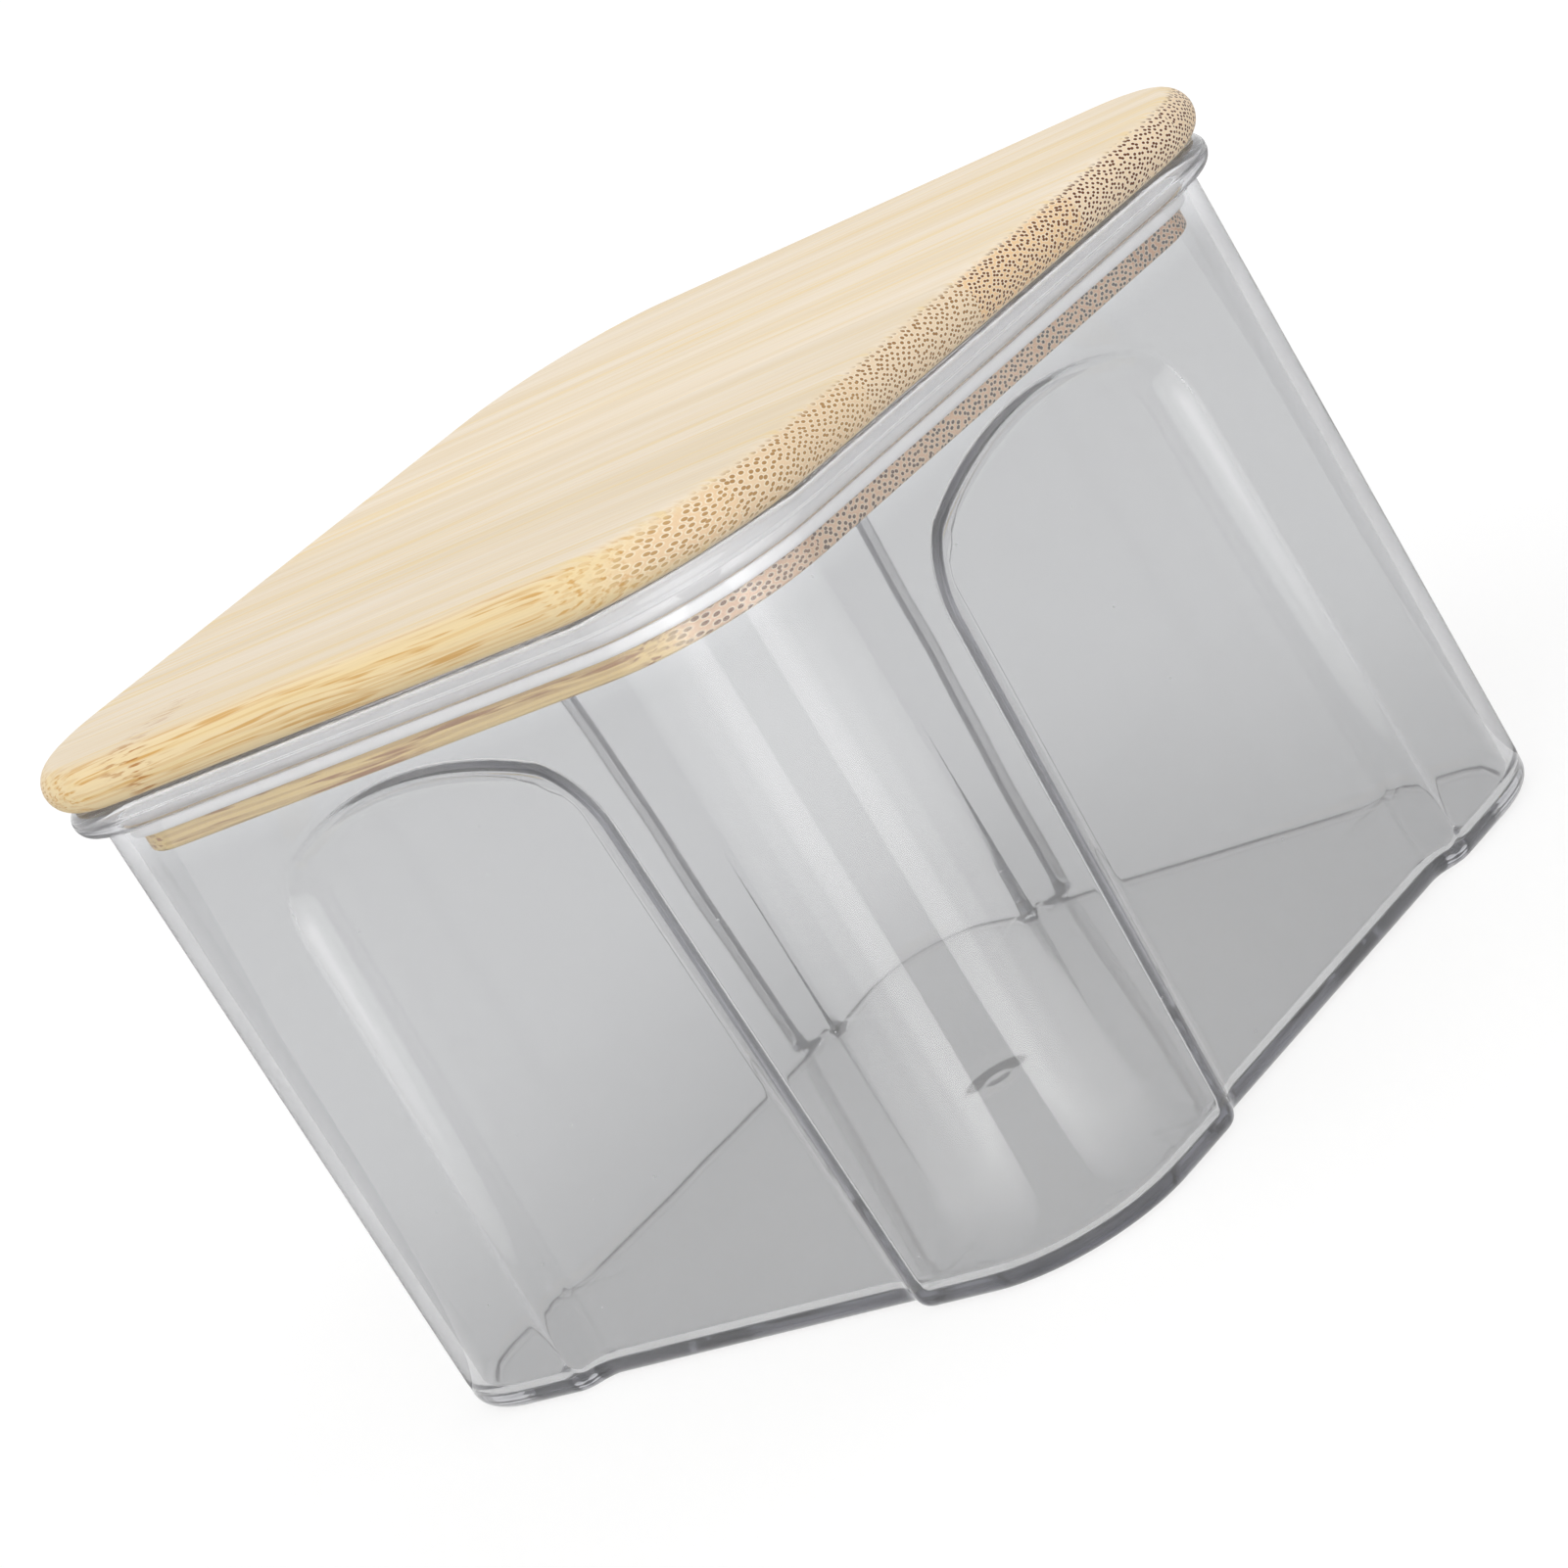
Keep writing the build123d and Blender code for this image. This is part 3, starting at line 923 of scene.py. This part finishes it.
def pressGripsTree():
    sizes = ("Half", "Lean", "Apex", "Arch Radius", "Shoulder", "Outer Bend", "Hollow Bend", "Slope",
             "Probe", "Ripple", "Ripple Scale")
    tree, start = newTree("pressGrips", sizes)
    group = gripDepthGroup()
    place = addNode(tree, "GeometryNodeInputPosition").outputs[0]
    x, y, z = addNode(tree, "ShaderNodeSeparateXYZ", {0: place}).outputs
    spanX, spanY = calc(tree, "ABSOLUTE", x), calc(tree, "ABSOLUTE", y)
    onX = calc(tree, "GREATER_THAN", spanX, spanY)
    onY = calc(tree, "SUBTRACT", 1.0, onX)
    across = calc(tree, "MINIMUM", spanX, spanY)
    signX, signY = calc(tree, "SIGN", x), calc(tree, "SIGN", y)

    def times(first, second):
        return calc(tree, "MULTIPLY", first, second)

    def depthAt(acrossHere, upHere):
        node = addNode(tree, "GeometryNodeGroup")
        node.node_tree = group
        feed(tree, node.inputs["Across"], acrossHere)
        feed(tree, node.inputs["Up"], upHere)
        for size in sizes[:8]:
            feed(tree, node.inputs[size], start.outputs[size])
        return node.outputs[0]

    probe = start.outputs["Probe"]
    depth = depthAt(across, z)
    slopes = []
    for moved in ((total(tree, across, probe), z), (across, total(tree, z, probe))):
        rise = calc(tree, "SUBTRACT", depthAt(*moved), depth)
        slopes.append(calc(tree, "DIVIDE", rise, probe))
    slopeAcross, slopeUp = slopes
    steepness = total(tree, 1.0, times(slopeAcross, slopeAcross), times(slopeUp, slopeUp))
    length = calc(tree, "SQRT", steepness)

    def stored(name):
        node = addNode(tree, "GeometryNodeInputNamedAttribute", {"Name": name}, data_type="FLOAT")
        return node.outputs[0]

    # the inner skin keeps the wall's thickness square to the step
    inset, press = stored("inset"), stored("press")
    shift = calc(tree, "DIVIDE", inset, length)
    outward = calc(tree, "SUBTRACT", calc(tree, "SUBTRACT", inset, shift), depth)
    along = times(times(shift, slopeAcross), -1.0)
    upward = times(times(shift, slopeUp), -1.0)
    # a faint ripple on the inner skin
    rippled = noise(tree, place, start.outputs["Ripple Scale"], 1.0)
    ripple = times(calc(tree, "SUBTRACT", rippled.outputs[0], 0.5), start.outputs["Ripple"])
    ripple = times(ripple, calc(tree, "GREATER_THAN", inset, 0.0))
    outward = total(tree, outward, ripple)

    def mixAxes(sign, outShare, alongShare):
        both = total(tree, times(outward, outShare), times(along, alongShare))
        return times(times(both, sign), press)

    moveX = mixAxes(signX, onX, onY)
    moveY = mixAxes(signY, onY, onX)
    moveZ = times(upward, press)
    offset = addNode(tree, "ShaderNodeCombineXYZ", {0: moveX, 1: moveY, 2: moveZ}).outputs[0]
    pressed = addNode(tree, "GeometryNodeSetPosition", {"Geometry": start.outputs[0], "Offset": offset})
    closeTree(tree, pressed.outputs[0], plasticMaterial)
    return tree


def makeJar():
    piece = newPiece("clear_jar", jarGrid(), plasticMaterial)
    runTree(piece, pressGripsTree(), {
        "Half": gripHalf * mm, "Lean": radians(grip["lean"]), "Apex": gripApex * mm,
        "Arch Radius": grip["archRadius"] * mm, "Shoulder": grip["shoulder"] * mm,
        "Outer Bend": grip["outerBend"] * mm, "Hollow Bend": hollowBend * mm,
        "Slope": radians(grip["slope"]), "Probe": grip["probe"] * mm, "Ripple": 2 * jar["ripple"] * mm,
        "Ripple Scale": 1 / (jar["rippleLength"] * mm)})
    for name in ("inset", "press"):
        piece.data.attributes.remove(piece.data.attributes[name])
    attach(piece, "jar")
    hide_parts("jar_body")


makeJar()
print("jar made")


# seal, a profile with two fins carried round the plug

plugLow, plugHigh = (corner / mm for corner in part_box("lid_plug_strip_3"))
sealLow, sealHigh = (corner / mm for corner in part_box("seal_ring"))

seal = {
    "grooveDepth": 2.2,
    "band": 0.35,  # how far the ring stands out between its fins
    "cornerGain": 1.0,
    "play": 0.05,  # between the ring and the groove
    "backRound": 0.1,
    "arcPoints": 24,
    "softPoints": 4,
    # a fin from its root up, each point as what it is measured from, how far out, and how far
    # up from the root, or down from the next fin's root where that is below 0
    "fin": (("band", -0.25, 0.0), ("band", 0.0, 0.02), ("tip", -0.2, 0.12), ("tip", 0.0, 0.45),
            ("tip", 0.0, 0.95), ("tip", -0.12, 1.4), ("band", 0.05, -0.35), ("band", -0.05, -0.2)),
}

plugHalf = plugHigh.x
plugCorner = outlineAt(plugLow.z)[1] - (outlineAt(plugLow.z)[0] - plugHalf) + seal["cornerGain"]


def sealProfile():
    # distance out from the plug's side, and level
    pitch = (sealHigh.z - sealLow.z) / 2
    reach = {"band": seal["band"], "tip": sealHigh.x - plugHalf}
    back = seal["play"] - seal["grooveDepth"]
    turned = back + seal["backRound"]
    points = [(turned, sealHigh.z), (back, sealHigh.z - seal["backRound"]),
              (back, sealLow.z + seal["backRound"]), (turned, sealLow.z)]
    for root in (sealLow.z, sealLow.z + pitch):
        for key, out, up in seal["fin"]:
            points.append((reach[key] + out, root + (up if up >= 0 else pitch + up)))
    points[-1] = (seal["band"] - 0.1, sealHigh.z)
    return points


def sweepTree():
    tree, start = newTree("sweepSeal", ("Side", "Corner"))
    square = addNode(tree, "GeometryNodeCurvePrimitiveQuadrilateral",
                     {"Width": start.outputs["Side"], "Height": start.outputs["Side"]})
    fillet = {"Curve": square.outputs[0], "Radius": start.outputs["Corner"], "Count": seal["arcPoints"]}
    rounded = addNode(tree, "GeometryNodeFilletCurve", fillet, mode="POLY")
    profile = addNode(tree, "GeometryNodeMeshToCurve", {"Mesh": start.outputs[0]})
    soft = addNode(tree, "GeometryNodeCurveSplineType", {"Curve": profile.outputs[0]},
                   spline_type="CATMULL_ROM")
    fine = addNode(tree, "GeometryNodeSetSplineResolution",
                   {"Geometry": soft.outputs[0], "Resolution": seal["softPoints"]})
    swept = addNode(tree, "GeometryNodeCurveToMesh",
                    {"Curve": rounded.outputs[0], "Profile Curve": fine.outputs[0]})
    smooth = addNode(tree, "GeometryNodeSetShadeSmooth", {"Geometry": swept.outputs[0]})
    closeTree(tree, smooth.outputs[0], siliconeMaterial)
    return tree


def makeSeal():
    profile = sealProfile()
    points = [(out * mm, -level * mm, 0.0) for out, level in profile]  # the sweep turns Y down
    edges = [(count, (count + 1) % len(points)) for count in range(len(points))]
    mesh = bpy.data.meshes.new("sealProfile")
    mesh.from_pydata(points, edges, [])
    piece = newPiece("seal", mesh, siliconeMaterial)
    runTree(piece, sweepTree(), {"Side": 2 * plugHalf * mm, "Corner": plugCorner * mm})
    finishMesh(piece.data)
    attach(piece, "lid")
    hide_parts("seal_ring")


makeSeal()
print("seal made")


# lid, two boards that are cut along the glue joints into strips

lidLow, lidHigh = (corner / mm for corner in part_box("lid_top_strip_3"))

lid = {
    "corner": 21.2,
    "edgePoints": 18,
    "cornerColumns": 28,
    "plugEdge": 0.4,
    "grooveEdge": 0.12,
    "joinGap": 0.02,  # left over the plug, so that the two plies' faces don't coincide
    "flatInset": 1.0,  # of the ring of corners inside a flat face's edge
    "topSharp": 40.0,  # turns past these stay sharp
    "plugSharp": 30.0,
}

# what sets each strip apart, from -Y to +Y
topLooks = {
    "stripTone": (1.0, 0.99, 1.01, 1.05, 1.04, 1.03),
    "stripWarmth": (0.55, 0.35, 0.1, 0.85, 0.05, 0.2),
    "stripDots": (0.0, 0.15, 0.4, 0.85, 0.95, 0.95),
    "stripBundle": (1.12, 1.08, 1.0, 1.0, 1.0, 1.0),
    "stripKnot": (-27.0, 140.0, -140.0, 150.0, 150.0, -140.0),
}
plugLooks = {
    "stripTone": (1.0, 1.0, 1.0, 0.98, 0.92),
    "stripWarmth": (0.4, 0.25, 0.3, 0.5, 0.9),
    "stripDots": (0.2, 0.6, 0.8, 1.0, 1.0),
    "stripBundle": (1.2, 1.18, 1.12, 1.12, 1.2),
    "stripKnot": (140.0, 150.0, -160.0, 140.0, 150.0),
}


def boardMesh(name, sections):
    # a solid through rounded squares, each given as half its side, corner and level
    points, faces = [], []
    rings = []
    for half, corner, level in sections:
        ring = []
        for turn in range(4):
            for count in range(lid["cornerColumns"] + 1):
                spot = spreadAcross(0.0, count / lid["cornerColumns"], turn, half, corner)
                ring.append(len(points))
                points.append((spot.x * mm, spot.y * mm, level * mm))
        rings.append(ring)
    for low, high in zip(rings, rings[1:]):
        for count, corner in enumerate(low):
            following = (count + 1) % len(low)
            faces.append((corner, low[following], high[following], high[count]))
    faces += [tuple(reversed(rings[0])), tuple(rings[-1])]
    mesh = bpy.data.meshes.new(name)
    mesh.from_pydata(points, [], faces)
    finishMesh(mesh)
    return mesh


def topBoard():
    radius = (lidHigh.z - lidLow.z) / 2
    half, corner = lidHigh.x, lid["corner"]
    middle = lidLow.z + radius
    inset = radius + lid["flatInset"]
    sections = [(half - inset, corner - inset, lidLow.z)]
    for out, level in arcSteps((-radius, middle), radius, -90, 90, lid["edgePoints"]):
        sections.append((half + out, corner + out, level))
    sections.append((half - inset, corner - inset, lidHigh.z))
    return boardMesh("topBoard", sections)


def plugBoard():
    half, corner, edge, small = plugHalf, plugCorner, lid["plugEdge"], lid["grooveEdge"]
    low, high = plugLow.z, plugHigh.z - lid["joinGap"]
    grooveLow, grooveHigh = sealLow.z - seal["play"], sealHigh.z + seal["play"]
    deep = half - seal["grooveDepth"]
    steps = [(half - 3 * edge, low), (half - edge, low)]
    steps += [(half + out, low + level) for out, level in arcSteps((-edge, edge), edge, -67, -22, 2)]
    steps += [(half, low + edge), (half, grooveLow - small), (half - small, grooveLow), (deep, grooveLow),
              (deep, grooveHigh), (half - small, grooveHigh), (half, grooveHigh + small), (half, high),
              (half - lid["flatInset"], high)]
    return boardMesh("plugBoard", [(reach, corner - half + reach, level) for reach, level in steps])


def cutStrip(board, name, low, high, looks, material, sharpAngle):
    # the part of a board between two values of Y, closed where it was cut
    work = bmesh.new()
    work.from_mesh(board)
    boardHalf = max(corner.co.y for corner in work.verts)
    for level, outer in ((low, -1), (high, 1)):
        if abs(level) > 0.999 * boardHalf:  # the board's own edge
            continue
        geometry = work.verts[:] + work.edges[:] + work.faces[:]
        cut = bmesh.ops.bisect_plane(work, geom=geometry, plane_co=(0, level, 0), plane_no=(0, outer, 0),
                                     clear_outer=True, dist=1e-7)
        rim = [item for item in cut["geom_cut"] if isinstance(item, bmesh.types.BMEdge)]
        bmesh.ops.holes_fill(work, edges=rim, sides=0)
    bmesh.ops.triangulate(work, faces=[face for face in work.faces if len(face.verts) > 4])
    mesh = bpy.data.meshes.new(name)
    work.to_mesh(mesh)
    work.free()
    finishMesh(mesh, sharpAngle)
    for key, value in looks.items():
        data = mesh.attributes.new(key, "FLOAT", "POINT").data
        data.foreach_set("value", [float(value)] * len(data))
    return newPiece(name, mesh, material)


def makeStrips(board, nodes, slot, plyLooks, material, sharpAngle):
    for count, node in enumerate(nodes):
        low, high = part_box(node)
        looks = {key: values[count] for key, values in plyLooks.items()}
        looks["stripSeed"] = count + 1
        piece = cutStrip(board, f"{slot}_{count + 1}", low.y, high.y, looks, material, sharpAngle)
        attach(piece, "lid")
        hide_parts(node)


makeStrips(topBoard(), topStrips, "bamboo_top", topLooks, topMaterial, lid["topSharp"])
makeStrips(plugBoard(), plugStrips, "bamboo_plug", plugLooks, plugMaterial, lid["plugSharp"])
print("lid made")
